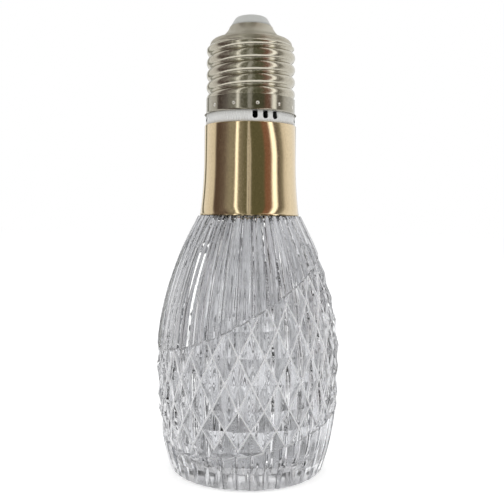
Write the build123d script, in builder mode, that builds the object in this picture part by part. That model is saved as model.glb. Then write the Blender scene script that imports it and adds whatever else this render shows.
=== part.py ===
from build123d import *
import os
from math import cos, radians, sin, tan

os.makedirs("parts", exist_ok=True)

# Clear shade: heights above its foot, outer radii and the two powers that shape its outline
shade_top = 73.8
belly_height = 33.0
foot_radius = 22.2
belly_radius = 27.0
shoulder_radius = 15.3
shoulder_power = 1.9
heel_power = 2.45
shade_wall = 3.0
floor_thickness = 4.0
floor_blend = 5.0
foot_rounding = 1.0
foot_recess_radius = 16.0
foot_recess_depth = 0.8
neck_radius = 13.0
neck_bore_radius = 11.5
neck_length = 8.2
flute_station_shares = (0, 0.08, 0.2, 0.34, 0.45, 0.56, 0.68, 0.8, 0.9, 1)
inner_station_shares = (0.12, 0.25, 0.4, 0.6, 0.8)

# Flutes at the top and the foot of the shade
flute_count = 37
flute_phase = 5.0
flute_relief = 0.056
flute_crest_share = 0.6

# Diamond cut between the flutes: rows of crossings and the height of each point over its grooves
diamond_count = 23
diamond_phase = -9.24
diamond_relief = 0.038
belly_row = 29.4
row_step_above = 7.0
row_step_below = 5.4
rows_above = 6
rows_below = 5

# Tilted planes that part flutes and diamonds: height on the axis, tilt and the way they rise
upper_cut_height = 52.2
upper_cut_tilt = 31.0
upper_cut_heading = 24.0
lower_cut_height = 15.2
lower_cut_tilt = 14.8
lower_cut_heading = 48.0

# Gold sleeve, above the top of the shade
sleeve_length = 26.6
sleeve_radius = 13.6
sleeve_mouth_radius = 14.65
sleeve_flare_length = 17.2
sleeve_wall = 0.6
sleeve_bead = 0.4

# White housing: collar, land inside the sleeve, stem inside the neck, spigot inside the cap
collar_height = 3.2
collar_radius = 13.25
land_radius = 12.75
stem_radius = 11.0
stem_rise = 1.6
spigot_drop = 3.0
housing_bore_radius = 10.0
housing_clearance = 0.1
vent_width = 1.5
vent_height = 2.4
vent_angles = (6.0, 19.0, 32.0, 78.0, 91.0, 104.0)
boss_radius = 2.2
boss_offset = 8.0
boss_length = 7.6
rail_depth = 1.6
rail_width = 0.8
rail_drop = 4.0
wire_slot_width = 1.8
wire_slot_depth = 8.0

# Screw cap, with the standard E27 thread: lengths above the collar, then the crease and the rim of its dome
thread_pitch = 3.629
thread_major_radius = 13.15
thread_root_radius = 12.25
thread_foot_width = 3.2
thread_rise = 2.4
thread_end_phase = 46.0
thread_length = 15.8
skirt_radius = 13.17
skirt_height = 4.6
skirt_lip_radius = 13.65
skirt_lip_height = 0.5
crease_radius = 10.7
crease_height = 1.9
shoulder_bulge = 0.35
cap_rim_radius = 6.4
cap_dome_height = 5.9
dome_hollow = 0.5
cap_wall = 0.45
dimple_count = 12
dimple_phase = 9.0
dimple_rise = 2.0
dimple_radius = 0.7
dimple_depth = 0.2

# Tip insulator and centre contact
insulator_flange_radius = 9.0
insulator_flange_height = 1.2
insulator_flange_drop = 0.5
insulator_lip_inset = 0.1
insulator_top_radius = 4.6
insulator_rise = 2.9
insulator_rounding = 1.2
contact_radius = 2.5
contact_head = 0.5
contact_shank_radius = 1.1
contact_tail = 0.6

# Silicone ring round the stem
adhesive_gap = 0.5

# Diode board
led_board_radius = 10.9
led_board_thickness = 1.5
led_board_hole_radius = 2.3
led_circle_radius = 8.1
led_arc = 120.0
leds_per_arc = 6
led_length = 2.8
led_width = 2.2
led_height = 0.7
led_corner = 0.3
phosphor_length = 2.2
phosphor_width = 1.6
phosphor_height = 0.15
screw_head_radius = 1.8
screw_head_height = 1.1
screw_shank_radius = 0.9
screw_length = 6.0
screw_slot_width = 0.4

# Driver board, and the gaps of its pieces above its lower edge
board_width = 18.8
board_thickness = 1.2
board_drop = 6.0
board_corner = 1.5
can_radius = 4.0
can_length = 14.0
can_bottom_gap = 3.0
can_rounding = 0.5
can_leg_offset = 1.25
can_leg_drop = 1.6
lead_radius = 0.3
choke_radius = 3.4
choke_length = 8.0
choke_flange = 1.2
choke_core_radius = 1.6
choke_winding_radius = 2.8
choke_bottom_gap = 20.0
film_capacitor_size = (7.0, 3.6, 8.0)
film_capacitor_gap = 14.0
film_rounding = 0.5
rectifier_size = (4.7, 1.5, 3.9)
rectifier_gap = 9.0
rectifier_leg_pitch = 2.5
chip_size = (4.9, 1.5, 3.9)
chip_gap = 2.5
chip_leg_pitch = 1.27
package_leg_width = 0.45
package_leg_reach = 0.8
package_standoff = 0.1
resistor_radius = 1.3
resistor_length = 7.0
resistor_gap = 27.5
resistor_leg_reach = 1.3

# Wires
wire_radius = 0.5
wire_bend = 1.2
wire_drop = 3.5
wire_headroom = 2.0
mains_pad_offset = 3.0
mains_pad_drop = 4.5
led_pad_offset = 5.0
led_pad_rise = 9.0
led_wire_slack = 2.6
led_wire_gap = 1.2
led_wire_tail = 3.2


# Heights above the foot
neck_top = shade_top + neck_length
sleeve_top = shade_top + sleeve_length
sleeve_flare_height = shade_top + sleeve_flare_length
collar_top = sleeve_top + collar_height
skirt_top = collar_top + skirt_height
thread_start_height = collar_top + thread_rise
cap_shoulder_height = skirt_top + thread_length
cap_crease_height = cap_shoulder_height + crease_height
cap_rim_height = cap_shoulder_height + cap_dome_height
insulator_top = cap_rim_height + insulator_rise
insulator_bottom = cap_crease_height - insulator_flange_drop - insulator_flange_height
contact_shank_bottom = insulator_bottom - contact_tail
stem_bottom = shade_top + stem_rise
spigot_top = cap_shoulder_height - spigot_drop
board_bottom = stem_bottom + boss_length
board_top = spigot_top - board_drop
board_height = board_top - board_bottom


def polar_point(radius, angle, height):
    """Point at a radius and an angle from +X, at a height."""
    return (radius * cos(radians(angle)), radius * sin(radians(angle)), height)


def front_angle(angle):
    """Angle from +X of a direction given from the front, positive to the right."""
    return angle - 90


def shade_radius(height):
    """Outer radius of the shade at a height, over flutes and diamond points."""
    if height > belly_height:
        rise = (height - belly_height) / (shade_top - belly_height)
        return belly_radius - (belly_radius - shoulder_radius) * rise**shoulder_power
    fall = (belly_height - height) / belly_height
    return belly_radius - (belly_radius - foot_radius) * fall**heel_power


def flute_outline(height):
    """Star outline of the flutes at a height: flat crests parted by sharp valleys."""
    step = 360 / flute_count
    crest = shade_radius(height)
    valley = crest * (1 - flute_relief)
    points = []
    for index in range(flute_count):
        middle = flute_phase + index * step
        points.append(polar_point(crest, middle - flute_crest_share * step / 2, 0)[:2])
        points.append(polar_point(crest, middle + flute_crest_share * step / 2, 0)[:2])
        points.append(polar_point(valley, middle + step / 2, 0)[:2])
    return points


def tilted_plane(height, tilt, heading):
    """Plane through the axis at a height, rising by the tilt towards the heading."""
    slope = tan(radians(tilt))
    normal = (-slope * cos(radians(heading)), -slope * sin(radians(heading)), 1)
    return Plane(origin=(0, 0, height), z_dir=normal)


# Rows of the diamond lattice from the lowest up, the belly row at index rows_below
below = [belly_row - row_step_above - row_step_below * row for row in range(rows_below)]
above = [belly_row + row_step_above * row for row in range(rows_above + 1)]
lattice_rows = sorted(below) + above
lattice_step = 180 / diamond_count


def is_crossing(row, column):
    """Whether grooves cross at this lattice place; the others are diamond points."""
    return (row + column + rows_below) % 2 == 0


def lattice_point(row, column):
    """Corner of the diamond cut: in the grooves at a crossing, proud at a point."""
    height = lattice_rows[row]
    radius = shade_radius(height)
    if is_crossing(row, column):
        radius *= 1 - diamond_relief
    return polar_point(radius, diamond_phase + column * lattice_step, height)


def lattice_facets():
    """Triangles of the diamond cut, and the flat ends that close it."""
    columns = range(2 * diamond_count)
    faces = []
    for row in range(len(lattice_rows) - 1):
        for column in columns:
            low = lattice_point(row, column)
            low_next = lattice_point(row, column + 1)
            high = lattice_point(row + 1, column)
            high_next = lattice_point(row + 1, column + 1)
            if is_crossing(row, column):
                corners = ((low, low_next, high_next), (low, high_next, high))
            else:
                corners = ((low, low_next, high), (low_next, high_next, high))
            for triangle in corners:
                faces.append(Face(Wire.make_polygon(triangle, close=True)))
    for row in (0, len(lattice_rows) - 1):
        ring = [lattice_point(row, column) for column in columns]
        faces.append(Face(Wire.make_polygon(ring, close=True)))
    return faces


# Clear shade: a fluted body and a diamond body, parted by the tilted planes and joined
upper_cut = tilted_plane(upper_cut_height, upper_cut_tilt, upper_cut_heading)
lower_cut = tilted_plane(lower_cut_height, lower_cut_tilt, lower_cut_heading)
flute_stations = [shade_top * share for share in flute_station_shares]

with BuildPart() as fluted_body:
    for station in flute_stations:
        with BuildSketch(Plane.XY.offset(station)):
            with BuildLine():
                Polyline(*flute_outline(station), close=True)
            make_face()
    loft()

with BuildPart() as upper_flutes:
    add(fluted_body.part)
    split(bisect_by=upper_cut, keep=Keep.TOP)

with BuildPart() as lower_flutes:
    add(fluted_body.part)
    split(bisect_by=lower_cut, keep=Keep.BOTTOM)

with BuildPart() as diamond_band:
    add(Solid(Shell(lattice_facets())))
    split(bisect_by=upper_cut, keep=Keep.BOTTOM)
    split(bisect_by=lower_cut, keep=Keep.TOP)

cavity_height = shade_top - floor_thickness
inner_stations = [floor_thickness + cavity_height * share for share in inner_station_shares]
inner_curve = [(shade_radius(station) - shade_wall, station) for station in inner_stations]
inner_foot = shade_radius(floor_thickness) - shade_wall - floor_blend

with BuildPart() as acrylic_shade:
    add([upper_flutes.part, diamond_band.part, lower_flutes.part], clean=False)
    with BuildSketch(Plane.XY.offset(shade_top)):
        Circle(neck_radius)
    extrude(amount=neck_length, clean=False)
    with BuildSketch(Plane.XZ):
        with BuildLine():
            wall_line = Spline(
                (inner_foot, floor_thickness),
                *inner_curve,
                (neck_bore_radius, shade_top),
                tangents=((1, 0), (0, 1)),
            )
            Line(wall_line @ 1, (neck_bore_radius, neck_top))
            Line((neck_bore_radius, neck_top), (0, neck_top))
            Line((0, neck_top), (0, floor_thickness))
            Line((0, floor_thickness), wall_line @ 0)
        make_face()
    revolve(axis=Axis.Z, mode=Mode.SUBTRACT, clean=False)
    with BuildSketch(Plane.XZ):
        with BuildLine():
            ThreePointArc(
                (-foot_recess_radius, 0),
                (0, foot_recess_depth),
                (foot_recess_radius, 0),
            )
            Line((foot_recess_radius, 0), (-foot_recess_radius, 0))
        make_face()
        split(bisect_by=Plane.YZ)
    revolve(axis=Axis.Z, mode=Mode.SUBTRACT, clean=False)
    with BuildSketch(Plane.XZ):
        with BuildLine():
            TangentArc(
                (foot_radius - foot_rounding, 0),
                (shade_radius(foot_rounding), foot_rounding),
                tangent=(1, 0),
            )
            Polyline(
                (shade_radius(foot_rounding), foot_rounding),
                (foot_radius + foot_rounding, foot_rounding),
                (foot_radius + foot_rounding, 0),
                (foot_radius - foot_rounding, 0),
            )
        make_face()
    revolve(axis=Axis.Z, mode=Mode.SUBTRACT, clean=False)
acrylic_shade.part.label = "acrylic_shade"
export_step(acrylic_shade.part, "parts/acrylic_shade.step")

# Gold sleeve: straight above, flared below, with a rolled bead on the shoulder of the shade
sleeve_lip_height = shade_top + sleeve_bead
sleeve_bead_radius = sleeve_mouth_radius - sleeve_wall / 2

with BuildPart() as gold_sleeve:
    with BuildSketch(Plane.XZ):
        with BuildLine():
            TangentArc(
                (sleeve_radius, sleeve_flare_height),
                (sleeve_mouth_radius, sleeve_lip_height),
                tangent=(0, -1),
            )
            TangentArc(
                (sleeve_radius - sleeve_wall, sleeve_flare_height),
                (sleeve_mouth_radius - sleeve_wall, sleeve_lip_height),
                tangent=(0, -1),
            )
            Polyline(
                (sleeve_radius, sleeve_flare_height),
                (sleeve_radius, sleeve_top),
                (sleeve_radius - sleeve_wall, sleeve_top),
                (sleeve_radius - sleeve_wall, sleeve_flare_height),
            )
            Line(
                (sleeve_mouth_radius, sleeve_lip_height),
                (sleeve_mouth_radius - sleeve_wall, sleeve_lip_height),
            )
        make_face()
        with Locations((sleeve_bead_radius, sleeve_lip_height)):
            Circle(sleeve_bead)
    revolve(axis=Axis.Z)
    fillet(gold_sleeve.edges().group_by(Axis.Z)[-1], sleeve_wall / 3)
gold_sleeve.part.label = "gold_sleeve"
export_step(gold_sleeve.part, "parts/gold_sleeve.step")

# White housing: one moulding from the diode board up into the cap
spigot_foot_radius = skirt_radius - cap_wall - housing_clearance
spigot_radius = thread_root_radius - cap_wall - housing_clearance
rail_offset = (board_thickness + rail_width) / 2

with BuildPart() as driver_housing:
    with BuildSketch(Plane.XZ):
        with BuildLine():
            Polyline(
                (housing_bore_radius, stem_bottom),
                (stem_radius, stem_bottom),
                (stem_radius, neck_top),
                (land_radius, neck_top),
                (land_radius, sleeve_top),
                (collar_radius, sleeve_top),
                (collar_radius, collar_top),
                (spigot_foot_radius, collar_top),
                (spigot_foot_radius, skirt_top - cap_wall),
                (spigot_radius, skirt_top),
                (spigot_radius, spigot_top),
                (housing_bore_radius, spigot_top),
                close=True,
            )
        make_face()
    revolve(axis=Axis.Z)
    with BuildSketch(Plane.XY.offset(stem_bottom)):
        with Locations((boss_offset, 0), (-boss_offset, 0)):
            Circle(boss_radius)
    extrude(amount=boss_length)
    with BuildSketch(Plane.XY.offset(stem_bottom)):
        with Locations((boss_offset, 0), (-boss_offset, 0)):
            Circle(screw_shank_radius)
    extrude(amount=screw_length, mode=Mode.SUBTRACT)
    with BuildSketch(Plane.XY.offset(board_bottom)):
        rail_middle = housing_bore_radius - rail_depth / 2
        with GridLocations(2 * rail_middle, 2 * rail_offset, 2, 2):
            Rectangle(rail_depth, rail_width)
    extrude(amount=board_height - rail_drop)
    for half_turn in (0, 180):
        for vent_angle in vent_angles:
            across = front_angle(vent_angle) + half_turn
            vent_plane = Plane(
                origin=polar_point(collar_radius + vent_width, across, collar_top),
                x_dir=polar_point(1, across + 90, 0),
                z_dir=polar_point(1, across, 0),
            )
            with BuildSketch(vent_plane):
                with Locations((0, (vent_width / 2 - vent_height) / 2)):
                    Rectangle(vent_width, vent_height - vent_width / 2)
                with Locations((0, vent_width / 2 - vent_height)):
                    Circle(vent_width / 2)
            extrude(amount=housing_bore_radius - collar_radius - 2 * vent_width, mode=Mode.SUBTRACT)
    with BuildSketch(Plane.XY.offset(spigot_top)):
        with Locations((-housing_bore_radius, 0)):
            Rectangle(2 * (spigot_radius - housing_bore_radius) + wire_slot_width, wire_slot_width)
    extrude(amount=-wire_slot_depth, mode=Mode.SUBTRACT)
driver_housing.part.label = "driver_housing"
export_step(driver_housing.part, "parts/driver_housing.step")

# Screw shell: pressed sheet with a flared skirt and a creased dome, drawn on its front side, and the thread
# round it, turned so that it always runs out under the dome at the same angle
cap_plane = Plane((0, 0, 0), x_dir=(0, -1, 0), z_dir=(-1, 0, 0))
thread_climb = cap_shoulder_height - thread_start_height + thread_pitch
thread_turn = front_angle(thread_end_phase) - 360 * thread_climb / thread_pitch
thread_sunk_radius = thread_root_radius - cap_wall / 3
trim_radius = thread_major_radius + thread_pitch
shell_bore_radius = thread_root_radius - cap_wall
shoulder_middle_radius = (thread_root_radius + crease_radius) / 2 + shoulder_bulge
shoulder_middle_height = (cap_shoulder_height + cap_crease_height) / 2 + shoulder_bulge
dome_middle_radius = (crease_radius + cap_rim_radius) / 2 - dome_hollow
dome_middle_height = (cap_crease_height + cap_rim_height) / 2 - dome_hollow

with BuildPart() as thread_ridge:
    with BuildLine():
        ridge_path = Helix(
            thread_pitch,
            thread_climb,
            thread_root_radius,
            center=(0, 0, thread_start_height),
        )
    with BuildSketch(Plane.XZ.shift_origin((0, 0, thread_start_height))):
        with BuildLine():
            ThreePointArc(
                (thread_sunk_radius, -thread_foot_width / 2),
                (thread_major_radius, 0),
                (thread_sunk_radius, thread_foot_width / 2),
            )
            Line(
                (thread_sunk_radius, thread_foot_width / 2),
                (thread_sunk_radius, -thread_foot_width / 2),
            )
        make_face()
    sweep(path=ridge_path, is_frenet=True)
    with BuildSketch(Plane.XZ):
        with BuildLine():
            Polyline(
                (shell_bore_radius, collar_top),
                (trim_radius, collar_top),
                (trim_radius, cap_shoulder_height - (trim_radius - thread_root_radius)),
                (shell_bore_radius, cap_shoulder_height + cap_wall),
                close=True,
            )
        make_face()
    revolve(axis=Axis.Z, mode=Mode.INTERSECT)

with BuildPart() as screw_shell:
    with BuildSketch(cap_plane):
        with BuildLine():
            ThreePointArc(
                (thread_root_radius, cap_shoulder_height),
                (shoulder_middle_radius, shoulder_middle_height),
                (crease_radius, cap_crease_height),
            )
            ThreePointArc(
                (crease_radius, cap_crease_height),
                (dome_middle_radius, dome_middle_height),
                (cap_rim_radius, cap_rim_height),
            )
            Polyline(
                (cap_rim_radius, cap_rim_height),
                (0, cap_rim_height),
                (0, collar_top),
                (skirt_lip_radius, collar_top),
                (skirt_radius, collar_top + skirt_lip_height),
                (skirt_radius, skirt_top),
                (thread_root_radius, skirt_top + cap_wall),
                (thread_root_radius, cap_shoulder_height),
            )
        make_face()
    revolve(axis=Axis.Z)
    add(thread_ridge.part, rotation=(0, 0, thread_turn))
    with BuildSketch(cap_plane):
        with BuildLine():
            ThreePointArc(
                (shell_bore_radius, cap_shoulder_height),
                (shoulder_middle_radius - cap_wall, shoulder_middle_height - cap_wall),
                (crease_radius - cap_wall, cap_crease_height - cap_wall),
            )
            ThreePointArc(
                (crease_radius - cap_wall, cap_crease_height - cap_wall),
                (dome_middle_radius - cap_wall, dome_middle_height - cap_wall),
                (cap_rim_radius - cap_wall, cap_rim_height - cap_wall),
            )
            Polyline(
                (cap_rim_radius - cap_wall, cap_rim_height - cap_wall),
                (cap_rim_radius - cap_wall, cap_rim_height),
                (0, cap_rim_height),
                (0, collar_top),
                (skirt_lip_radius - cap_wall, collar_top),
                (skirt_radius - cap_wall, collar_top + skirt_lip_height),
                (skirt_radius - cap_wall, skirt_top - cap_wall),
                (shell_bore_radius, skirt_top),
                (shell_bore_radius, cap_shoulder_height),
            )
        make_face()
    revolve(axis=Axis.Z, mode=Mode.SUBTRACT)
    with Locations(Plane.XY.offset(collar_top + dimple_rise)):
        with PolarLocations(
            skirt_radius + dimple_radius - dimple_depth,
            dimple_count,
            start_angle=front_angle(dimple_phase),
        ):
            Sphere(dimple_radius, mode=Mode.SUBTRACT)
screw_shell.part.label = "screw_shell"
export_step(screw_shell.part, "parts/screw_shell.step")

# Tip insulator: a rounded cone that plugs the mouth of the cap, drilled for the contact
insulator_neck_radius = cap_rim_radius - cap_wall
insulator_lip_radius = cap_rim_radius - insulator_lip_inset
insulator_flange_top = insulator_bottom + insulator_flange_height

with BuildPart() as tip_insulator:
    with BuildSketch(Plane.XZ):
        with BuildLine():
            Polyline(
                (contact_shank_radius, insulator_bottom),
                (insulator_flange_radius, insulator_bottom),
                (insulator_flange_radius, insulator_flange_top),
                (insulator_neck_radius, insulator_flange_top),
                (insulator_neck_radius, cap_rim_height),
                (insulator_lip_radius, cap_rim_height),
                (insulator_top_radius, insulator_top),
                (contact_shank_radius, insulator_top),
                close=True,
            )
        make_face()
    revolve(axis=Axis.Z)
    fillet(tip_insulator.edges().group_by(Axis.Z)[-1].sort_by(SortBy.RADIUS)[-1], insulator_rounding)
tip_insulator.part.label = "tip_insulator"
export_step(tip_insulator.part, "parts/tip_insulator.step")

# Centre contact: a rivet through the insulator
with BuildPart() as centre_contact:
    with BuildSketch(Plane.XY.offset(insulator_top)):
        Circle(contact_radius)
    extrude(amount=contact_head)
    chamfer(centre_contact.edges().group_by(Axis.Z)[-1], contact_head / 2)
    with BuildSketch(Plane.XY.offset(insulator_top)):
        Circle(contact_shank_radius)
    extrude(amount=contact_shank_bottom - insulator_top)
centre_contact.part.label = "centre_contact"
export_step(centre_contact.part, "parts/centre_contact.step")

# Ring of silicone between the neck of the shade and the stem of the housing
with BuildPart() as shade_adhesive:
    with BuildSketch(Plane.XY.offset(stem_bottom + adhesive_gap)):
        Circle(neck_bore_radius)
        Circle(stem_radius, mode=Mode.SUBTRACT)
    extrude(amount=neck_top - stem_bottom - 2 * adhesive_gap)
shade_adhesive.part.label = "shade_adhesive"
export_step(shade_adhesive.part, "parts/shade_adhesive.step")

# Diode board: an aluminium disc under the stem, with a hole for the wires and two for the screws
led_board_bottom = stem_bottom - led_board_thickness

with BuildPart() as led_board:
    with BuildSketch(Plane.XY.offset(led_board_bottom)):
        Circle(led_board_radius)
        Circle(led_board_hole_radius, mode=Mode.SUBTRACT)
        with Locations((boss_offset, 0), (-boss_offset, 0)):
            Circle(screw_shank_radius, mode=Mode.SUBTRACT)
    extrude(amount=led_board_thickness)
led_board.part.label = "led_board"
export_step(led_board.part, "parts/led_board.step")

# Diodes: two arcs of like packages that keep clear of the screws, each with a yellow face
led_start_angles = (90 - led_arc / 2, 270 - led_arc / 2)

with BuildPart() as led_packages:
    with BuildSketch(Plane.XY.offset(led_board_bottom)):
        for led_start in led_start_angles:
            with PolarLocations(led_circle_radius, leds_per_arc, led_start, led_arc, endpoint=True):
                RectangleRounded(led_width, led_length, led_corner)
    extrude(amount=-led_height)
led_packages.part.label = "led_packages"
export_step(led_packages.part, "parts/led_packages.step")

with BuildPart() as led_phosphors:
    with BuildSketch(Plane.XY.offset(led_board_bottom - led_height)):
        for led_start in led_start_angles:
            with PolarLocations(led_circle_radius, leds_per_arc, led_start, led_arc, endpoint=True):
                RectangleRounded(phosphor_width, phosphor_length, led_corner)
    extrude(amount=-phosphor_height)
led_phosphors.part.label = "led_phosphors"
export_step(led_phosphors.part, "parts/led_phosphors.step")

# Screws that hold the diode board to the bosses of the housing
with BuildPart() as board_screws:
    with BuildSketch(Plane.XY.offset(led_board_bottom)):
        with Locations((boss_offset, 0), (-boss_offset, 0)):
            Circle(screw_head_radius)
    extrude(amount=-screw_head_height)
    fillet(board_screws.edges().group_by(Axis.Z)[0], screw_head_height / 3)
    with BuildSketch(Plane.XY.offset(led_board_bottom - screw_head_height)):
        with Locations((boss_offset, 0), (-boss_offset, 0)):
            Rectangle(2 * screw_head_radius, screw_slot_width)
    extrude(amount=screw_head_height / 2, mode=Mode.SUBTRACT)
    with BuildSketch(Plane.XY.offset(led_board_bottom)):
        with Locations((boss_offset, 0), (-boss_offset, 0)):
            Circle(screw_shank_radius)
    extrude(amount=screw_length)
board_screws.part.label = "board_screws"
export_step(board_screws.part, "parts/board_screws.step")

# Driver board: upright between the rails, standing on the bosses
board_face = board_thickness / 2

with BuildPart() as driver_board:
    with BuildSketch(Plane.XY.offset(board_bottom)):
        Rectangle(board_width, board_thickness)
    extrude(amount=board_height)
    chamfer(driver_board.edges().filter_by(Axis.Y).group_by(Axis.Z)[-1], board_corner)
driver_board.part.label = "driver_board"
export_step(driver_board.part, "parts/driver_board.step")

# Smoothing capacitor: a can along the front face, with two legs bent into the board
can_bottom = board_bottom + can_bottom_gap
can_axis = -board_face - can_radius

with BuildPart() as smoothing_capacitor:
    with BuildSketch(Plane.XY.offset(can_bottom)):
        with Locations((0, can_axis)):
            Circle(can_radius)
    extrude(amount=can_length)
    fillet(smoothing_capacitor.edges().filter_by(GeomType.CIRCLE), can_rounding)
    for side in (-1, 1):
        with BuildLine():
            leg_path = FilletPolyline(
                (side * can_leg_offset, can_axis, can_bottom),
                (side * can_leg_offset, can_axis, can_bottom - can_leg_drop),
                (side * can_leg_offset, -board_face, can_bottom - can_leg_drop),
                radius=can_leg_drop / 2,
            )
        with BuildSketch(Plane(leg_path @ 0, z_dir=leg_path % 0)):
            Circle(lead_radius)
        sweep(path=leg_path)
smoothing_capacitor.part.label = "smoothing_capacitor"
export_step(smoothing_capacitor.part, "parts/smoothing_capacitor.step")

# Choke: a ferrite drum above the can, and its copper winding
choke_plane = Plane.XY.offset(board_bottom + choke_bottom_gap)
choke_axis = -board_face - choke_radius
winding_plane = choke_plane.offset(choke_flange)
winding_length = choke_length - 2 * choke_flange

with BuildPart() as choke_core:
    with BuildSketch(choke_plane, choke_plane.offset(choke_length - choke_flange)):
        with Locations((0, choke_axis)):
            Circle(choke_radius)
    extrude(amount=choke_flange)
    with BuildSketch(winding_plane):
        with Locations((0, choke_axis)):
            Circle(choke_core_radius)
    extrude(amount=winding_length)
choke_core.part.label = "choke_core"
export_step(choke_core.part, "parts/choke_core.step")

with BuildPart() as choke_winding:
    with BuildSketch(winding_plane):
        with Locations((0, choke_axis)):
            Circle(choke_winding_radius)
            Circle(choke_core_radius, mode=Mode.SUBTRACT)
    extrude(amount=winding_length)
choke_winding.part.label = "choke_winding"
export_step(choke_winding.part, "parts/choke_winding.step")

# Film capacitor: a box on the back face
film_width, film_depth, film_height = film_capacitor_size

with BuildPart() as film_capacitor:
    with BuildSketch(Plane.XY.offset(board_bottom + film_capacitor_gap)):
        with Locations((0, board_face + film_depth / 2)):
            Rectangle(film_width, film_depth)
    extrude(amount=film_height)
    fillet(film_capacitor.faces().sort_by(Axis.Y)[-1].edges(), film_rounding)
film_capacitor.part.label = "film_capacitor"
export_step(film_capacitor.part, "parts/film_capacitor.step")

# Bridge rectifier and driver chip: moulded packages on legs, on the back face
package_plane = Plane.XZ.offset(-board_face)

with BuildPart() as bridge_rectifier:
    body_width, body_depth, body_height = rectifier_size
    body_middle = (0, board_bottom + rectifier_gap + body_height / 2)
    with BuildSketch(package_plane.offset(-package_standoff)):
        with Locations(body_middle):
            Rectangle(body_width, body_height)
    extrude(amount=package_standoff - body_depth)
    with BuildSketch(package_plane):
        with Locations(body_middle):
            with GridLocations(0, rectifier_leg_pitch, 1, 2):
                Rectangle(body_width + 2 * package_leg_reach, package_leg_width)
    extrude(amount=-body_depth / 2)
bridge_rectifier.part.label = "bridge_rectifier"
export_step(bridge_rectifier.part, "parts/bridge_rectifier.step")

with BuildPart() as driver_chip:
    body_width, body_depth, body_height = chip_size
    body_middle = (0, board_bottom + chip_gap + body_height / 2)
    with BuildSketch(package_plane.offset(-package_standoff)):
        with Locations(body_middle):
            Rectangle(body_width, body_height)
    extrude(amount=package_standoff - body_depth)
    with BuildSketch(package_plane):
        with Locations(body_middle):
            with GridLocations(chip_leg_pitch, 0, 4, 1):
                Rectangle(package_leg_width, body_height + 2 * package_leg_reach)
    extrude(amount=-body_depth / 2)
driver_chip.part.label = "driver_chip"
export_step(driver_chip.part, "parts/driver_chip.step")

# Fusible resistor: lies across the back face, near the mains end
resistor_height = board_bottom + resistor_gap
resistor_axis = board_face + resistor_radius

with BuildPart() as fuse_resistor:
    with BuildSketch(Plane.YZ.offset(-resistor_length / 2)):
        with Locations((resistor_axis, resistor_height)):
            Circle(resistor_radius)
    extrude(amount=resistor_length)
    fillet(fuse_resistor.edges().filter_by(GeomType.CIRCLE), resistor_radius / 3)
    for side in (-1, 1):
        with BuildLine():
            leg_path = FilletPolyline(
                (side * resistor_length / 2, resistor_axis, resistor_height),
                (side * (resistor_length / 2 + resistor_leg_reach), resistor_axis, resistor_height),
                (side * (resistor_length / 2 + resistor_leg_reach), board_face, resistor_height),
                radius=resistor_leg_reach / 2,
            )
        with BuildSketch(Plane(leg_path @ 0, z_dir=leg_path % 0)):
            Circle(lead_radius)
        sweep(path=leg_path)
fuse_resistor.part.label = "fuse_resistor"
export_step(fuse_resistor.part, "parts/fuse_resistor.step")

# Wires: straight runs joined by tangent arcs, soldered flat on the faces of the boards
wire_front = -board_face - wire_radius
wire_back = board_face + wire_radius
pad_height = board_top - mains_pad_drop
wire_turn_height = board_top + wire_headroom
shell_wire_offset = thread_root_radius - cap_wall - wire_radius
led_wire_foot = led_board_bottom - wire_radius

with BuildPart() as live_wire:
    with BuildLine():
        live_path = FilletPolyline(
            (0, 0, contact_shank_bottom),
            (0, 0, contact_shank_bottom - wire_drop),
            (mains_pad_offset, wire_front, wire_turn_height),
            (mains_pad_offset, wire_front, pad_height),
            radius=wire_bend,
        )
    with BuildSketch(Plane(live_path @ 0, z_dir=live_path % 0)):
        Circle(wire_radius)
    sweep(path=live_path)
live_wire.part.label = "live_wire"
export_step(live_wire.part, "parts/live_wire.step")

with BuildPart() as neutral_wire:
    with BuildLine():
        neutral_path = FilletPolyline(
            (-mains_pad_offset, wire_front, pad_height),
            (-mains_pad_offset, wire_front, wire_turn_height),
            (-shell_wire_offset, 0, wire_turn_height),
            (-shell_wire_offset, 0, wire_turn_height - wire_drop),
            radius=wire_bend,
        )
    with BuildSketch(Plane(neutral_path @ 0, z_dir=neutral_path % 0)):
        Circle(wire_radius)
    sweep(path=neutral_path)
neutral_wire.part.label = "neutral_wire"
export_step(neutral_wire.part, "parts/neutral_wire.step")

with BuildPart() as led_wire_positive:
    with BuildLine():
        led_path = FilletPolyline(
            (led_pad_offset, wire_back, board_bottom + led_pad_rise),
            (led_pad_offset, wire_back, board_bottom - led_wire_slack),
            (led_wire_gap, 0, stem_bottom + led_wire_slack),
            (led_wire_gap, 0, led_wire_foot),
            (led_wire_gap + led_wire_tail, 0, led_wire_foot),
            radius=wire_bend,
        )
    with BuildSketch(Plane(led_path @ 0, z_dir=led_path % 0)):
        Circle(wire_radius)
    sweep(path=led_path)
led_wire_positive.part.label = "led_wire_positive"
export_step(led_wire_positive.part, "parts/led_wire_positive.step")

with BuildPart() as led_wire_negative:
    add(mirror(led_wire_positive.part, about=Plane.YZ, mode=Mode.PRIVATE))
led_wire_negative.part.label = "led_wire_negative"
export_step(led_wire_negative.part, "parts/led_wire_negative.step")
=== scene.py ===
"""Looks of an acrylic LED bulb: cut clear shade, gold sleeve, white collar and nickel screw cap."""

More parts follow.
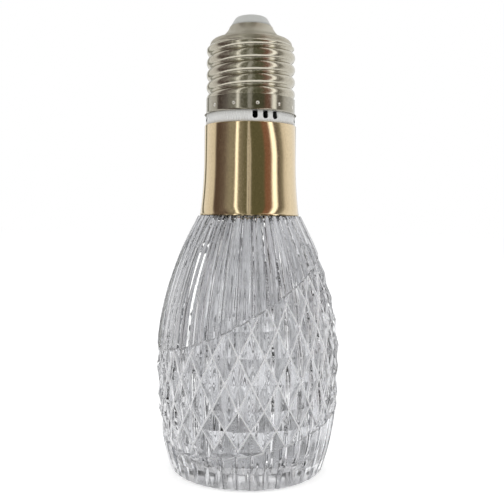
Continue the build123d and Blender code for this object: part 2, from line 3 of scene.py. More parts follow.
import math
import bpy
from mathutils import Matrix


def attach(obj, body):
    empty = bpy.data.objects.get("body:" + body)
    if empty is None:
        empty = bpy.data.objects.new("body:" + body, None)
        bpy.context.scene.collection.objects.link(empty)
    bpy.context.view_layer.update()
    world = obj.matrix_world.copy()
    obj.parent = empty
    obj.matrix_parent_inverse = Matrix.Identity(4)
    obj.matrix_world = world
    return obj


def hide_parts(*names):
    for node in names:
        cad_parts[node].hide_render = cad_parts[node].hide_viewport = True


bl_info = {
    "name": "Acrylic LED Bulb",
    "version": (1, 0, 0),
    "blender": (4, 5, 0),
    "location": "View3D > Sidebar > Bulb",
    "description": "Finishes the pieces of an acrylic LED bulb and sets its studio",
    "category": "Object",
}

import bmesh
import bpy
from bpy.props import FloatProperty, FloatVectorProperty, PointerProperty
from mathutils import Matrix, Vector

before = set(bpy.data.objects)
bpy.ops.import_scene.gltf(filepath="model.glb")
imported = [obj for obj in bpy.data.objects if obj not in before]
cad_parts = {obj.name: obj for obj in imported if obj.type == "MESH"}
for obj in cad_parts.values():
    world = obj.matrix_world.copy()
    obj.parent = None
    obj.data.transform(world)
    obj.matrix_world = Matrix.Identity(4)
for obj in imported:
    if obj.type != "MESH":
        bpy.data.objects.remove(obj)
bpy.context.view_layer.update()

MM = 0.001

# Places of details on the solids, from which the faces that get a finish of their own are chosen
CAVITY_FLOOR = 4 * MM
FLOOR_BLEND = 8 * MM
LEDGE_LOW = 9 * MM
LEDGE_HIGH = 72 * MM
COLLAR_HEIGHT = 3.2 * MM
COLLAR_WALL = 0.4 * MM
SKIRT_HEIGHT = 4 * MM
DIMPLE_LOW = 1.3 * MM
DIMPLE_HIGH = 2.7 * MM
DOME_HEIGHT = 5.9 * MM

# Limits for how far such faces look away from the axis, or up and down
INWARD = -0.25
DIMPLED = 0.3
OUTWARD = 0.985
UPWARD = 0.5
LEVEL = 0.8

# Edges that are cut again: fold at each, in degrees, the shortest groove and how steep a valley is
GROOVE_DEEP = -60
GROOVE_SHALLOW = -6
GROOVE_LENGTH = 3 * MM
VALLEY_FOLD = -90
VALLEY_STEEPNESS = 0.7

# Outline of the shade above its belly, which the wall of its cavity follows up to the neck
SHADE_TOP = 73.8 * MM
BELLY_HEIGHT = 33 * MM
BELLY_RADIUS = 27 * MM
SHOULDER_RADIUS = 15.3 * MM
SHOULDER_POWER = 1.9
SHADE_WALL = 3 * MM
DEEPEST_CUT = 1.5 * MM

# Where the solid's cavity leaves that outline, where its wall bends in and where it folds back
EVEN_WALL_LOW = 45.9 * MM
EVEN_WALL_HIGH = SHADE_TOP - 0.01 * MM
FOLD_RADIUS = 21.25 * MM
FOLD_LOW = 56.09 * MM
FOLD_HIGH = 59.84 * MM

# Points of a solid's mesh that are closer than this are one
WELD_DISTANCE = 0.002 * MM

# Range of a noise that counts, from its dark to its light places
NOISE_LOW = 0.3
NOISE_HIGH = 0.7

# Material slots after the first one, of the shade, the screw shell and the housing
# Slots of the shade: hazed grooves and cut ends with a painted highlight, the fluted inner wall, valleys in
# painted shade and the frosted underside
HAZED_HIGHLIT, FLUTED, VALLEY_SHADE, FROSTED = range(1, 5)
# Slots of the screw shell: a satin dome in painted shade, punch marks with a painted glint and a skirt in
# painted shade
SATIN_SHADED, PUNCHED_GLINT, SKIRT_SHADE = range(1, 4)
# The housing's extra slot holds painted shade behind the vents
PAINTED_VENT_SHADE = 1

# Studio: light of the surroundings and the floor, its sizes and how often light is followed
SURROUNDING_LIGHT = 0.5
FLOOR_GLOW = 0.54
FLOOR_REACH = 3
FLOOR_DROP = 0.05 * MM
TENT_SEGMENTS = 96
SENSOR_WIDTH = 36
NEAREST_VIEW = 10 * MM
LIGHT_BOUNCES = 28

# Colours of light on the tent's panels
WHITE = (1.0, 1.0, 1.0)
BRIGHT = (1.9, 1.9, 1.85)
PALE = (0.82, 0.8, 0.78)
DIM = (0.3, 0.29, 0.25)
OLIVE = (0.13, 0.13, 0.08)
BROWN = (0.11, 0.08, 0.07)
RUST = (0.26, 0.13, 0.09)
GREY = (0.6, 0.6, 0.61)
SHADE = (0.34, 0.34, 0.35)

# Panels that metal mirrors: share of a turn from the back over the left and the front, and their light
MIRROR_PANELS = (
    (0.0, DIM), (0.04, DIM), (0.055, WHITE), (0.1, WHITE), (0.11, OLIVE), (0.125, OLIVE), (0.14, WHITE),
    (0.24, PALE), (0.256, BROWN), (0.33, BROWN), (0.37, DIM), (0.402, DIM), (0.41, BRIGHT), (0.418, BRIGHT),
    (0.428, DIM), (0.482, OLIVE), (0.488, WHITE), (0.496, DIM), (0.503, PALE), (0.512, OLIVE), (0.59, OLIVE),
    (0.606, RUST), (0.64, RUST), (0.66, BRIGHT), (0.678, BRIGHT), (0.692, BROWN), (0.73, DIM), (0.755, PALE),
    (0.8, WHITE), (0.94, WHITE), (0.955, DIM), (1.0, DIM),
)
# Panels seen through the shade: share of one repeat, and their light
THROUGH_PANELS = (
    (0.0, WHITE), (0.1, WHITE), (0.13, GREY), (0.2, GREY), (0.23, WHITE), (0.31, WHITE), (0.33, SHADE),
    (0.37, SHADE), (0.39, BRIGHT), (0.44, BRIGHT), (0.47, GREY), (0.58, PALE), (0.62, WHITE), (0.7, WHITE),
    (0.72, SHADE), (0.75, SHADE), (0.77, PALE), (0.83, GREY), (0.87, GREY), (0.9, WHITE), (1.0, WHITE),
)
TENT_REPEATS = 3
FLOOR_REPEATS = 20


class BulbFinish(bpy.types.PropertyGroup):
    """Colours and finishes of the bulb's pieces."""

    acrylic_tint: FloatVectorProperty(
        name="Acrylic Tint",
        description="Colour of light that passes through the shade",
        subtype="COLOR",
        default=(0.77, 0.775, 0.79),
        min=0,
        max=1,
    )
    acrylic_ior: FloatProperty(
        name="Acrylic IOR",
        description="Refractive index of the shade",
        default=1.49,
        min=1,
        max=2,
    )
    groove_width: FloatProperty(
        name="Groove Width",
        description="Width of the V along each groove of the diamond cut",
        subtype="DISTANCE",
        unit="LENGTH",
        default=0.44 * MM,
        min=0,
    )
    groove_depth: FloatProperty(
        name="Groove Depth",
        description="Depth of the V along each groove of the diamond cut",
        subtype="DISTANCE",
        unit="LENGTH",
        default=0.2 * MM,
        min=0,
    )
    valley_width: FloatProperty(
        name="Valley Width",
        description="Width of the blunt line along the valley between two flutes",
        subtype="DISTANCE",
        unit="LENGTH",
        default=0.28 * MM,
        min=0,
    )
    inner_flutes: FloatProperty(
        name="Inner Flutes",
        description="Number of upright flutes round the inner wall of the shade",
        default=37,
        min=1,
    )
    inner_flute_depth: FloatProperty(
        name="Inner Flute Depth",
        description="Depth of the flutes of the inner wall",
        subtype="DISTANCE",
        unit="LENGTH",
        default=0.6 * MM,
        min=0,
    )
    gold: FloatVectorProperty(
        name="Gold",
        description="Colour of the plated sleeve",
        subtype="COLOR",
        default=(0.80, 0.65, 0.42),
        min=0,
        max=1,
    )
    nickel: FloatVectorProperty(
        name="Nickel",
        description="Colour of the plated screw cap",
        subtype="COLOR",
        default=(0.58, 0.547, 0.454),
        min=0,
        max=1,
    )
    white_plastic: FloatVectorProperty(
        name="White Plastic",
        description="Colour of the housing's collar",
        subtype="COLOR",
        default=(0.86, 0.86, 0.84),
        min=0,
        max=1,
    )


class StudioSettings(bpy.types.PropertyGroup):
    """Camera, floor and light of the studio."""

    camera_distance: FloatProperty(
        name="Camera Distance",
        description="From the camera to the axis of the bulb",
        subtype="DISTANCE",
        unit="LENGTH",
        default=209 * MM,
    )
    camera_height: FloatProperty(
        name="Camera Height",
        description="Height of the camera above the foot of the bulb",
        subtype="DISTANCE",
        unit="LENGTH",
        default=73.5 * MM,
    )
    camera_side: FloatProperty(
        name="Camera Side",
        description="How far the camera stands to the right of the axis",
        subtype="DISTANCE",
        unit="LENGTH",
        default=0.8 * MM,
    )
    camera_roll: FloatProperty(
        name="Camera Roll",
        description="Turn of the camera about its line of sight",
        subtype="ANGLE",
        unit="ROTATION",
        default=math.radians(-0.6),
    )
    camera_rise: FloatProperty(
        name="Camera Rise",
        description="Vertical shift of the lens, as a share of the image's width",
        default=-35 / 504,
    )
    lens: FloatProperty(
        name="Lens",
        description="Focal length in millimetres on a 36 mm sensor",
        default=50,
    )
    tent_radius: FloatProperty(
        name="Tent Radius",
        description="From the axis of the bulb to the panels round it",
        subtype="DISTANCE",
        unit="LENGTH",
        default=130 * MM,
    )
    tent_height: FloatProperty(
        name="Tent Height",
        description="Height of the panels round the bulb",
        subtype="DISTANCE",
        unit="LENGTH",
        default=300 * MM,
    )
    floor: FloatVectorProperty(
        name="Floor",
        description="Colour of the floor",
        subtype="COLOR",
        default=(0.92, 0.92, 0.92),
        min=0,
        max=1,
    )


def new_material(name):
    """Material with one Principled shader, its nodes and its links."""
    material = bpy.data.materials.new(name)
    material.use_nodes = True
    nodes = material.node_tree.nodes
    return material, nodes, material.node_tree.links, nodes["Principled BSDF"]


def object_noise(nodes, links, scale, detail=3.0, stretch=(1, 1, 1)):
    """Noise over the piece's own place, drawn out along the axes by the stretch."""
    place = nodes.new("ShaderNodeTexCoord")
    mapping = nodes.new("ShaderNodeMapping")
    mapping.inputs["Scale"].default_value = stretch
    noise = nodes.new("ShaderNodeTexNoise")
    noise.inputs["Scale"].default_value = scale
    noise.inputs["Detail"].default_value = detail
    links.new(place.outputs["Object"], mapping.inputs["Vector"])
    links.new(mapping.outputs["Vector"], noise.inputs["Vector"])
    return noise.outputs["Fac"]


def spread(nodes, links, source, low, high):
    """Number between low and high that follows a noise."""
    reach = nodes.new("ShaderNodeMapRange")
    reach.inputs["From Min"].default_value = NOISE_LOW
    reach.inputs["From Max"].default_value = NOISE_HIGH
    reach.inputs["To Min"].default_value = low
    reach.inputs["To Max"].default_value = high
    links.new(source, reach.inputs["Value"])
    return reach.outputs["Result"]


def tint_between(nodes, links, source, first, second):
    """Colour between two that follows a source from 0 to 1."""
    mix = nodes.new("ShaderNodeMix")
    mix.data_type = "RGBA"
    mix.inputs["A"].default_value = (*first, 1)
    mix.inputs["B"].default_value = (*second, 1)
    links.new(source, mix.inputs["Factor"])
    return mix.outputs["Result"]


def dimmed(colour, share):
    """A colour with a share of its brightness."""
    return tuple(channel * share for channel in colour)


def add_bump(nodes, links, shader, source, strength, distance):
    """Relief of a source on a shader's normal."""
    bump = nodes.new("ShaderNodeBump")
    bump.inputs["Strength"].default_value = strength
    bump.inputs["Distance"].default_value = distance
    links.new(source, bump.inputs["Height"])
    links.new(bump.outputs["Normal"], shader.inputs["Normal"])


def number(nodes, links, operation, *values):
    """Result of a sum on numbers and sockets."""
    node = nodes.new("ShaderNodeMath")
    node.operation = operation
    for socket, value in zip(node.inputs, values):
        if isinstance(value, (int, float)):
            socket.default_value = value
        else:
            links.new(value, socket)
    return node.outputs["Value"]


def background_rays(nodes, links):
    """1 for rays from the camera, a mirror or the clear shade, and 0 for light."""
    path = nodes.new("ShaderNodeLightPath")
    bent = number(nodes, links, "MAXIMUM", path.outputs["Is Glossy Ray"], path.outputs["Is Transmission Ray"])
    return number(nodes, links, "MAXIMUM", path.outputs["Is Camera Ray"], bent)


def panel_ramp(nodes, links, place, panels):
    """Light of the panels at a place along their row."""
    ramp = nodes.new("ShaderNodeValToRGB")
    stops = ramp.color_ramp.elements
    while len(stops) < len(panels):
        stops.new(0.5)
    for stop, (position, light) in zip(stops, panels):
        stop.position = position
        stop.color = (*light, 1)
    links.new(place, ramp.inputs["Fac"])
    return ramp.outputs["Color"]


def turn_share(nodes, links):
    """Share of a turn about the axis, from the back over the left and the front."""
    place = nodes.new("ShaderNodeTexCoord")
    parts = nodes.new("ShaderNodeSeparateXYZ")
    links.new(place.outputs["Object"], parts.inputs["Vector"])
    front = number(nodes, links, "MULTIPLY", parts.outputs["Y"], -1)
    around = number(nodes, links, "ARCTAN2", parts.outputs["X"], front)
    return number(nodes, links, "MULTIPLY_ADD", around, 0.5 / math.pi, 0.5)


def through_panels(nodes, links, turn, repeats):
    """Light of the fine panels that show through the shade."""
    repeat = number(nodes, links, "FRACT", number(nodes, links, "MULTIPLY", turn, repeats))
    return panel_ramp(nodes, links, repeat, THROUGH_PANELS)


def seen_through(nodes, links, plain, through):
    """Plain light, or the other one for rays that come through the shade."""
    path = nodes.new("ShaderNodeLightPath")
    level = nodes.new("ShaderNodeMix")
    level.data_type = "RGBA"
    links.new(path.outputs["Is Transmission Ray"], level.inputs["Factor"])
    if isinstance(plain, tuple):
        level.inputs["A"].default_value = (*plain, 1)
    else:
        links.new(plain, level.inputs["A"])
    links.new(through, level.inputs["B"])
    return level.outputs["Result"]


def new_acrylic(name, finish, colour, clearness):
    """Acrylic of which a share lets light through, with its nodes, its links and its shader."""
    material, nodes, links, shader = new_material(name)
    shader.inputs["Base Color"].default_value = (*colour, 1)
    shader.inputs["Transmission Weight"].default_value = clearness
    shader.inputs["IOR"].default_value = finish.acrylic_ior
    return material, nodes, links, shader


def clear_acrylic(finish):
    """Clear cut acrylic with the faint ripple of a moulding."""
    material, nodes, links, shader = new_acrylic("clear_acrylic", finish, finish.acrylic_tint, 1)
    ripple = object_noise(nodes, links, scale=260, detail=2)
    links.new(spread(nodes, links, ripple, 0, 0.03), shader.inputs["Roughness"])
    add_bump(nodes, links, shader, ripple, strength=0.1, distance=0.05 * MM)
    return material


def fluted_acrylic(finish):
    """Clear acrylic of the inner wall, with shallow upright flutes."""
    material, nodes, links, shader = new_acrylic("fluted_acrylic", finish, finish.acrylic_tint, 1)
    shader.inputs["Roughness"].default_value = 0.02
    place = nodes.new("ShaderNodeTexCoord")
    parts = nodes.new("ShaderNodeSeparateXYZ")
    links.new(place.outputs["Object"], parts.inputs["Vector"])
    around = number(nodes, links, "ARCTAN2", parts.outputs["Y"], parts.outputs["X"])
    flutes = number(nodes, links, "SINE", number(nodes, links, "MULTIPLY", around, finish.inner_flutes))
    add_bump(nodes, links, shader, flutes, strength=1, distance=finish.inner_flute_depth / 2)
    return material


def grained_acrylic(name, finish, colour, clearness, smoothest, roughest):
    """Acrylic with a fine grain between two degrees of roughness."""
    material, nodes, links, shader = new_acrylic(name, finish, colour, clearness)
    grain = object_noise(nodes, links, scale=900)
    links.new(spread(nodes, links, grain, smoothest, roughest), shader.inputs["Roughness"])
    return material


def groove_haze_highlight(finish):
    """Near-white acrylic along the grooves and on the cut ends: a haze of the cutting wheel, and a painted
    highlight for the light lines there.
    """
    return grained_acrylic("hazed_highlit_acrylic", finish, (0.98, 0.98, 0.99), 0.15, 0.15, 0.4)


def painted_valley_shade(finish):
    """Acrylic in the blunt valleys of the flutes, darkened as painted shade for the dark lines they show."""
    return grained_acrylic("painted_valley_shade", finish, (0.14, 0.14, 0.15), 0.5, 0.1, 0.4)


def frosted_acrylic(finish):
    """Acrylic of the underside, which the mould leaves slightly matt."""
    return grained_acrylic("frosted_acrylic", finish, finish.acrylic_tint, 1, 0.1, 0.25)


def plated_metal(name, colour, roughness, grain, speckle=0.1, stretch=(1, 1, 1)):
    """Plated metal with a fine grain, which the speckle darkens."""
    material, nodes, links, shader = new_material(name)
    shader.inputs["Metallic"].default_value = 1
    fine = object_noise(nodes, links, grain, detail=4, stretch=stretch)
    tone = spread(nodes, links, fine, 0, 1)
    tint = tint_between(nodes, links, tone, dimmed(colour, 1 - speckle), colour)
    links.new(tint, shader.inputs["Base Color"])
    links.new(spread(nodes, links, fine, roughness * 0.7, roughness * 1.3), shader.inputs["Roughness"])
    add_bump(nodes, links, shader, fine, strength=0.08, distance=0.03 * MM)
    return material


def moulded_plastic(name, colour, roughness):
    """Moulded plastic with a fine skin and slight changes of tone."""
    material, nodes, links, shader = new_material(name)
    tone = object_noise(nodes, links, scale=220, detail=4)
    tint = tint_between(nodes, links, tone, dimmed(colour, 0.93), colour)
    links.new(tint, shader.inputs["Base Color"])
    skin = object_noise(nodes, links, scale=2600)
    links.new(spread(nodes, links, skin, roughness * 0.85, roughness * 1.15), shader.inputs["Roughness"])
    add_bump(nodes, links, shader, skin, strength=0.05, distance=0.03 * MM)
    return material


def node_copy(node, name):
    """Welded copy of a solid's mesh as a piece that stands for it."""
    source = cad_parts[node]
    mesh = source.data.copy()
    mesh.name = name
    mesh.materials.clear()
    body = bmesh.new()
    body.from_mesh(mesh)
    bmesh.ops.remove_doubles(body, verts=body.verts, dist=WELD_DISTANCE)
    body.to_mesh(mesh)
    body.free()
    piece = bpy.data.objects.new(name, mesh)
    bpy.context.collection.objects.link(piece)
    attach(piece, "root")
    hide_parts(node)
    return piece


def shade_radius(height):
    """Outer radius of the shade at a height above its belly."""
    rise = (height - BELLY_HEIGHT) / (SHADE_TOP - BELLY_HEIGHT)
    return BELLY_RADIUS - (BELLY_RADIUS - SHOULDER_RADIUS) * rise**SHOULDER_POWER


def shade_height(radius):
    """Height above the belly at which the shade has an outer radius."""
    drop = (BELLY_RADIUS - radius) / (BELLY_RADIUS - SHOULDER_RADIUS)
    return BELLY_HEIGHT + (SHADE_TOP - BELLY_HEIGHT) * min(drop, 1) ** (1 / SHOULDER_POWER)


def facing(face):
    """1 for a face that looks straight away from the axis, and -1 for one that looks at it."""
    middle = face.calc_center_median()
    return face.normal.dot(Vector((middle.x, middle.y, 0)).normalized())


def is_groove(edge):
    """Whether an edge lies in a groove between two diamonds, and is not a flute or a cut end."""
    fold = math.degrees(edge.calc_face_angle_signed())
    return GROOVE_DEEP < fold < GROOVE_SHALLOW and edge.calc_length() > GROOVE_LENGTH


def is_valley(edge):
    """Whether an edge lies along the valley between two flutes."""
    if not edge.is_manifold:
        return False
    first, second = edge.verts
    rise = abs(second.co.z - first.co.z)
    upright = rise > VALLEY_STEEPNESS * edge.calc_length()
    return upright and math.degrees(edge.calc_face_angle_signed()) < VALLEY_FOLD


def is_inner(face):
    """Whether a face is on the wall of the cavity, which looks towards the axis, or on its floor."""
    height = face.calc_center_median().z
    on_wall = height > CAVITY_FLOOR and facing(face) < INWARD
    on_floor = height < FLOOR_BLEND and face.normal.z > UPWARD
    return on_wall or on_floor


def is_ledge(face):
    """Whether a face is on a cut end between flutes and diamonds, which looks up or down."""
    return LEDGE_LOW < face.calc_center_median().z < LEDGE_HIGH and abs(face.normal.z) > LEVEL


def is_bottom(face):
    """Whether a face is on the underside, which looks down."""
    return face.calc_center_median().z < CAVITY_FLOOR and face.normal.z < -LEVEL


def height_span(mesh):
    """Lowest and highest point of a mesh."""
    heights = [vertex.co.z for vertex in mesh.vertices]
    return min(heights), max(heights)


def finish_faces(mesh, chosen, slot):
    """Give the faces for which a rule holds the material of a slot."""
    body = bmesh.new()
    body.from_mesh(mesh)
    for face in body.faces:
        if chosen(face):
            face.material_index = slot
    body.to_mesh(mesh)
    body.free()


def smooth_by_angle(piece, degrees):
    """Smooth shading that keeps edges over an angle sharp."""
    mesh = piece.data
    mesh.shade_smooth()
    mesh.set_sharp_from_angle(angle=math.radians(degrees))


def round_skirt(mesh, top):
    """Normals straight away from the axis on the plain skirt, so that small marks leave no smears."""
    normals = [corner.vector.copy() for corner in mesh.corner_normals]
    for face in mesh.polygons:
        outward = Vector((face.center.x, face.center.y, 0)).normalized()
        if face.center.z < top and face.normal.dot(outward) > OUTWARD:
            for corner in face.loop_indices:
                place = mesh.vertices[mesh.loops[corner].vertex_index].co
                normals[corner] = Vector((place.x, place.y, 0)).normalized()
    mesh.normals_split_custom_set(normals)


def dress_node(node, material):
    """Better material on a solid that keeps its own mesh."""
    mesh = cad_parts[node].data
    mesh.materials.clear()
    mesh.materials.append(material)


def add_materials(piece, *materials):
    """Give a piece its materials, in the order of its slots."""
    for material in materials:
        piece.data.materials.append(material)


class BULB_OT_shade(bpy.types.Operator):
    """Make the cut acrylic shade"""

    bl_idname = "bulb.shade"
    bl_label = "Acrylic Shade"

    def execute(self, context):
        finish = context.scene.bulb_finish
        piece = node_copy("acrylic_shade", "cut_shade")
        body = bmesh.new()
        body.from_mesh(piece.data)
        self.open_cavity(body)
        self.cut_grooves(body, finish)
        self.blunt_valleys(body, finish)
        self.choose_finishes(body)
        body.to_mesh(piece.data)
        body.free()
        smooth_by_angle(piece, degrees=9)
        add_materials(
            piece,
            clear_acrylic(finish),
            groove_haze_highlight(finish),
            fluted_acrylic(finish),
            painted_valley_shade(finish),
            frosted_acrylic(finish),
        )
        return {"FINISHED"}

    def open_cavity(self, body):
        """Let the cavity's wall follow the outside up to the neck, where the solid's wall folds inwards."""
        fold_radius = shade_radius(FOLD_HIGH) - SHADE_WALL
        for vertex in body.verts:
            place = vertex.co
            radius = place.xy.length
            if not EVEN_WALL_LOW < place.z < EVEN_WALL_HIGH:
                continue
            if radius > shade_radius(place.z) - DEEPEST_CUT:
                continue
            if radius < fold_radius:
                place.z = shade_height(radius + SHADE_WALL)
                continue
            if radius < FOLD_RADIUS:
                share = (FOLD_RADIUS - radius) / (FOLD_RADIUS - fold_radius)
                place.z = FOLD_LOW + share * (FOLD_HIGH - FOLD_LOW)
            place.xy *= (shade_radius(place.z) - SHADE_WALL) / radius
        body.normal_update()

    def bevel_edges(self, body, edges, width, segments, slot):
        """Strip of a width along each edge, with the material of a slot."""
        strips = bmesh.ops.bevel(
            body,
            geom=edges,
            offset=width / 2,
            offset_type="OFFSET",
            affect="EDGES",
            segments=segments,
            profile=0.5,
            material=-1,
            clamp_overlap=False,
        )
        for face in strips["faces"]:
            face.material_index = slot
        body.normal_update()
        return strips

    def cut_grooves(self, body, finish):
        """Narrow V along each groove of the diamond cut, in hazed acrylic with a painted highlight."""
        grooves = [edge for edge in body.edges if is_groove(edge)]
        strips = self.bevel_edges(body, grooves, finish.groove_width, 2, HAZED_HIGHLIT)
        flanks = set(strips["faces"])
        for vertex in strips["verts"]:
            if flanks.issuperset(vertex.link_faces):
                vertex.co -= vertex.normal * finish.groove_depth

    def blunt_valleys(self, body, finish):
        """Blunt line along the valley between two flutes, in a dark painted shade."""
        valleys = [edge for edge in body.edges if is_valley(edge)]
        self.bevel_edges(body, valleys, finish.valley_width, 1, VALLEY_SHADE)

    def choose_finishes(self, body):
        """Finishes of their own for the cut ends, hazed with a painted highlight, the underside and the
        cavity.
        """
        for face in body.faces:
            if is_ledge(face):
                face.material_index = HAZED_HIGHLIT
            elif is_bottom(face):
                face.material_index = FROSTED
            elif is_inner(face):
                face.material_index = FLUTED


class BULB_OT_sleeve(bpy.types.Operator):
    """Make the gold sleeve"""

    bl_idname = "bulb.sleeve"
    bl_label = "Gold Sleeve"

    def execute(self, context):
        finish = context.scene.bulb_finish
        piece = node_copy("gold_sleeve", "plated_sleeve")
        smooth_by_angle(piece, degrees=40)
        gold = plated_metal("gold_plate", finish.gold, roughness=0.11, grain=2600, speckle=0.2)
        add_materials(piece, gold)
        return {"FINISHED"}


class BULB_OT_cap(bpy.types.Operator):
    """Make the screw shell, its tip and its contact"""

    bl_idname = "bulb.cap"
    bl_label = "Screw Cap"

    def execute(self, context):
        finish = context.scene.bulb_finish
        self.make_shell(finish.nickel)
        self.make_tip()
        contact = plated_metal("contact_plate", (0.78, 0.76, 0.7), roughness=0.3, grain=900)
        dress_node("centre_contact", contact)
        return {"FINISHED"}

    def make_shell(self, nickel):
        """Plated shell with a satin dome darkened as painted shade, a skirt darkened as painted shade and
        punch marks brightened as a painted glint.
        """
        shell = node_copy("screw_shell", "threaded_shell")
        smooth_by_angle(shell, degrees=28)
        add_materials(
            shell,
            plated_metal("nickel_plate", nickel, roughness=0.2, grain=1800, speckle=0.2),
            # Rougher nickel on the dome, also darkened as painted shade
            plated_metal("satin_shaded_nickel", dimmed(nickel, 0.88), roughness=0.4, grain=1800),
            # Brighter, rougher nickel on the punch marks' flanks: a painted glint
            plated_metal("punched_glint_nickel", (0.95, 0.93, 0.88), roughness=0.45, grain=1800),
            # Darker nickel on the skirt: painted shade
            plated_metal("shaded_skirt_nickel", dimmed(nickel, 0.76), roughness=0.16, grain=1800, speckle=0.2),
        )
        skirt_foot, rim = height_span(shell.data)
        skirt_top = skirt_foot + SKIRT_HEIGHT

        def is_dome(face):
            """Whether a face is on the dome under the tip."""
            return face.calc_center_median().z > rim - DOME_HEIGHT

        def is_skirt(face):
            """Whether a face is on the plain skirt under the thread."""
            return face.calc_center_median().z < skirt_top

        def is_dimple(face):
            """Whether a face is on the flank of a punch mark."""
            rise = face.calc_center_median().z - skirt_foot
            return DIMPLE_LOW < rise < DIMPLE_HIGH and DIMPLED < facing(face) < OUTWARD

        finish_faces(shell.data, is_dome, SATIN_SHADED)
        finish_faces(shell.data, is_skirt, SKIRT_SHADE)
        finish_faces(shell.data, is_dimple, PUNCHED_GLINT)
        round_skirt(shell.data, skirt_top)

    def make_tip(self):
        """Pale insulator in the tip."""
        tip = node_copy("tip_insulator", "moulded_tip")
        smooth_by_angle(tip, degrees=35)
        add_materials(tip, moulded_plastic("tip_plastic", (0.58, 0.59, 0.565), roughness=0.35))


class BULB_OT_housing(bpy.types.Operator):
    """Make the white housing with its vented collar"""

    bl_idname = "bulb.housing"
    bl_label = "White Housing"

    def execute(self, context):
        finish = context.scene.bulb_finish
        piece = node_copy("driver_housing", "vented_housing")
        smooth_by_angle(piece, degrees=35)
        add_materials(
            piece,
            moulded_plastic("white_moulding", finish.white_plastic, roughness=0.42),
            # Near-black moulding behind the collar's slots: painted shade where the slots look into the
            # inside
            moulded_plastic("vent_painted_shade", (0.03, 0.03, 0.03), roughness=0.6),
        )
        collar_top = height_span(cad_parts["screw_shell"].data)[0]
        collar_foot = collar_top - COLLAR_HEIGHT
        reach = max(vertex.co.xy.length for vertex in piece.data.vertices) - COLLAR_WALL

        def is_vent(face):
            """Whether a face is behind the outside of the collar, where the slots show it and painted shade
            darkens it.
            """
            middle = face.calc_center_median()
            return collar_foot < middle.z < collar_top and middle.xy.length < reach

        finish_faces(piece.data, is_vent, PAINTED_VENT_SHADE)
        return {"FINISHED"}


class BULB_OT_inside(bpy.types.Operator):
    """Finish the diode board, the driver and the wires"""

    bl_idname = "bulb.inside"
    bl_label = "Diodes and Driver"

    def execute(self, context):
        plastics = {
            "shade_adhesive": ("silicone_bead", (0.86, 0.86, 0.84), 0.5),
            "led_board": ("white_board_coat", (0.85, 0.85, 0.84), 0.45),
            "led_packages": ("diode_moulding", (0.9, 0.89, 0.86), 0.4),
            "led_phosphors": ("phosphor_gel", (0.85, 0.62, 0.08), 0.3),
            "driver_board": ("green_laminate", (0.05, 0.22, 0.09), 0.4),
            "smoothing_capacitor": ("shrunk_sleeve", (0.03, 0.03, 0.05), 0.3),
            "choke_core": ("sintered_ferrite", (0.03, 0.03, 0.03), 0.6),
            "film_capacitor": ("film_case", (0.55, 0.36, 0.05), 0.3),
            "bridge_rectifier": ("rectifier_moulding", (0.02, 0.02, 0.02), 0.5),
            "driver_chip": ("chip_moulding", (0.02, 0.02, 0.02), 0.5),
            "fuse_resistor": ("flameproof_coat", (0.25, 0.4, 0.3), 0.55),
            "live_wire": ("live_insulation", (0.5, 0.02, 0.02), 0.4),
            "neutral_wire": ("neutral_insulation", (0.82, 0.82, 0.8), 0.4),
            "led_wire_positive": ("positive_insulation", (0.5, 0.02, 0.02), 0.4),
            "led_wire_negative": ("negative_insulation", (0.02, 0.02, 0.02), 0.4),
        }
        for node, (name, colour, roughness) in plastics.items():
            dress_node(node, moulded_plastic(name, colour, roughness))
        zinc = plated_metal("zinc_plate", (0.6, 0.6, 0.6), roughness=0.3, grain=900)
        dress_node("board_screws", zinc)
        copper = plated_metal("enamelled_copper", (0.65, 0.3, 0.14), 0.35, 900, 0.2, stretch=(1, 1, 6))
        dress_node("choke_winding", copper)
        return {"FINISHED"}


def area_light(name, place, target, width, height, watts):
    """Soft box that faces a target."""
    data = bpy.data.lights.new(name, "AREA")
    data.shape = "RECTANGLE"
    data.size = width
    data.size_y = height
    data.energy = watts
    lamp = bpy.data.objects.new(name, data)
    lamp.location = place
    lamp.rotation_euler = (Vector(target) - Vector(place)).to_track_quat("-Z", "Y").to_euler()
    bpy.context.collection.objects.link(lamp)


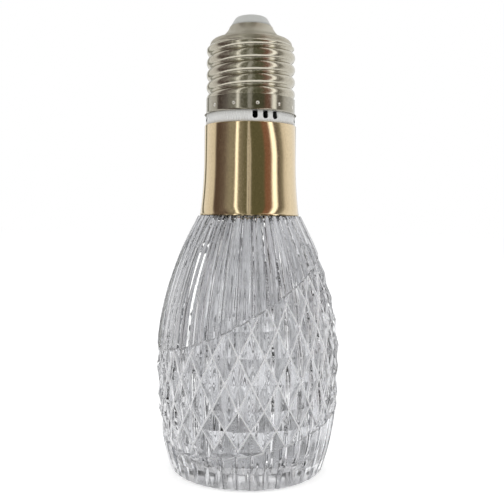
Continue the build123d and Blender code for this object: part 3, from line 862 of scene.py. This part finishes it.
class BULB_OT_studio(bpy.types.Operator):
    """Set the floor, the light and the camera"""

    bl_idname = "bulb.studio"
    bl_label = "Studio"

    def execute(self, context):
        studio = context.scene.bulb_studio
        self.make_world(context.scene)
        self.make_floor(studio)
        self.make_tent(studio)
        self.make_lights()
        self.make_camera(context.scene, studio)
        context.scene.view_settings.view_transform = "Standard"
        context.scene.cycles.max_bounces = LIGHT_BOUNCES
        context.scene.cycles.transmission_bounces = LIGHT_BOUNCES
        return {"FINISHED"}

    def make_world(self, scene):
        """Even light on every piece, and white behind them, in mirrors and through the shade too."""
        world = bpy.data.worlds.new("studio_white")
        scene.world = world
        world.use_nodes = True
        nodes = world.node_tree.nodes
        links = world.node_tree.links
        strength = nodes.new("ShaderNodeMapRange")
        strength.inputs["To Min"].default_value = SURROUNDING_LIGHT
        strength.inputs["To Max"].default_value = 1
        links.new(background_rays(nodes, links), strength.inputs["Value"])
        nodes["Background"].inputs["Color"].default_value = (1, 1, 1, 1)
        links.new(strength.outputs["Result"], nodes["Background"].inputs["Strength"])

    def make_tent(self, studio):
        """Round tent of bright and dark panels, which shows only in mirrors and through the shade."""
        mesh = bpy.data.meshes.new("studio_tent")
        body = bmesh.new()
        bmesh.ops.create_cone(
            body,
            cap_ends=False,
            segments=TENT_SEGMENTS,
            radius1=studio.tent_radius,
            radius2=studio.tent_radius,
            depth=studio.tent_height,
        )
        bmesh.ops.translate(body, verts=body.verts, vec=(0, 0, studio.tent_height / 2))
        roof = Matrix.Translation((0, 0, studio.tent_height))
        bmesh.ops.create_circle(
            body,
            cap_ends=True,
            segments=TENT_SEGMENTS,
            radius=studio.tent_radius,
            matrix=roof,
        )
        body.to_mesh(mesh)
        body.free()
        tent = bpy.data.objects.new("studio_tent", mesh)
        bpy.context.collection.objects.link(tent)
        tent.visible_camera = False
        tent.visible_diffuse = False
        tent.visible_shadow = False
        mesh.materials.append(self.tent_panels(studio))

    def tent_panels(self, studio):
        """Cloth of the tent: one row of panels for mirrors and a finer one behind the shade."""
        material, nodes, links, shader = new_material("tent_panels")
        turn = turn_share(nodes, links)
        mirrored = panel_ramp(nodes, links, turn, MIRROR_PANELS)
        level = seen_through(nodes, links, mirrored, through_panels(nodes, links, turn, TENT_REPEATS))
        shader.inputs["Base Color"].default_value = (0, 0, 0, 1)
        shader.inputs["Specular IOR Level"].default_value = 0
        shader.inputs["Emission Strength"].default_value = 1
        links.new(level, shader.inputs["Emission Color"])
        return material

    def make_floor(self, studio):
        """Wide pale floor, which shows fine panels through the shade."""
        mesh = bpy.data.meshes.new("studio_floor")
        body = bmesh.new()
        bmesh.ops.create_grid(body, x_segments=1, y_segments=1, size=FLOOR_REACH)
        body.to_mesh(mesh)
        body.free()
        floor = bpy.data.objects.new("studio_floor", mesh)
        floor.location.z = -FLOOR_DROP
        bpy.context.collection.objects.link(floor)
        material, nodes, links, shader = new_material("pale_floor")
        shader.inputs["Base Color"].default_value = (*studio.floor, 1)
        shader.inputs["Roughness"].default_value = 1
        shader.inputs["Specular IOR Level"].default_value = 0
        panels = through_panels(nodes, links, turn_share(nodes, links), FLOOR_REPEATS)
        links.new(seen_through(nodes, links, WHITE, panels), shader.inputs["Emission Color"])
        glow = number(nodes, links, "MULTIPLY", background_rays(nodes, links), FLOOR_GLOW)
        links.new(glow, shader.inputs["Emission Strength"])
        mesh.materials.append(material)

    def make_lights(self):
        """Soft boxes at both sides and above."""
        target = (0, 0, 66 * MM)
        area_light("left_box", (-0.6, -0.35, 0.25), target, width=0.3, height=0.8, watts=1.4)
        area_light("right_box", (0.6, -0.3, 0.3), target, width=0.3, height=0.8, watts=1.2)
        area_light("top_box", (0, 0.1, 0.8), target, width=0.8, height=0.8, watts=1.6)

    def make_camera(self, scene, studio):
        """Level camera with the bulb's whole height in view."""
        data = bpy.data.cameras.new("studio_camera")
        data.sensor_width = SENSOR_WIDTH
        data.lens = studio.lens
        data.shift_y = studio.camera_rise
        data.clip_start = NEAREST_VIEW
        camera = bpy.data.objects.new("studio_camera", data)
        camera.location = (studio.camera_side, -studio.camera_distance, studio.camera_height)
        camera.rotation_euler = (math.radians(90), studio.camera_roll, 0)
        bpy.context.collection.objects.link(camera)
        scene.camera = camera


class BULB_PT_panel(bpy.types.Panel):
    """Lists the bulb's pieces and settings"""

    bl_idname = "BULB_PT_panel"
    bl_label = "Acrylic LED Bulb"
    bl_space_type = "VIEW_3D"
    bl_region_type = "UI"
    bl_category = "Bulb"

    def draw(self, context):
        layout = self.layout
        for operator in OPERATORS:
            layout.operator(operator.bl_idname)
        for settings in (context.scene.bulb_finish, context.scene.bulb_studio):
            for name in settings.bl_rna.properties.keys():
                if name not in ("rna_type", "name"):
                    layout.prop(settings, name)


OPERATORS = (
    BULB_OT_shade,
    BULB_OT_sleeve,
    BULB_OT_cap,
    BULB_OT_housing,
    BULB_OT_inside,
    BULB_OT_studio,
)
CLASSES = (BulbFinish, StudioSettings, *OPERATORS, BULB_PT_panel)


def register():
    for item in CLASSES:
        bpy.utils.register_class(item)
    bpy.types.Scene.bulb_finish = PointerProperty(type=BulbFinish)
    bpy.types.Scene.bulb_studio = PointerProperty(type=StudioSettings)


def unregister():
    del bpy.types.Scene.bulb_studio
    del bpy.types.Scene.bulb_finish
    for item in reversed(CLASSES):
        bpy.utils.unregister_class(item)


def main():
    register()
    bpy.ops.bulb.shade()
    bpy.ops.bulb.sleeve()
    bpy.ops.bulb.cap()
    bpy.ops.bulb.housing()
    bpy.ops.bulb.inside()
    bpy.ops.bulb.studio()


if __name__ == "__main__":
    main()
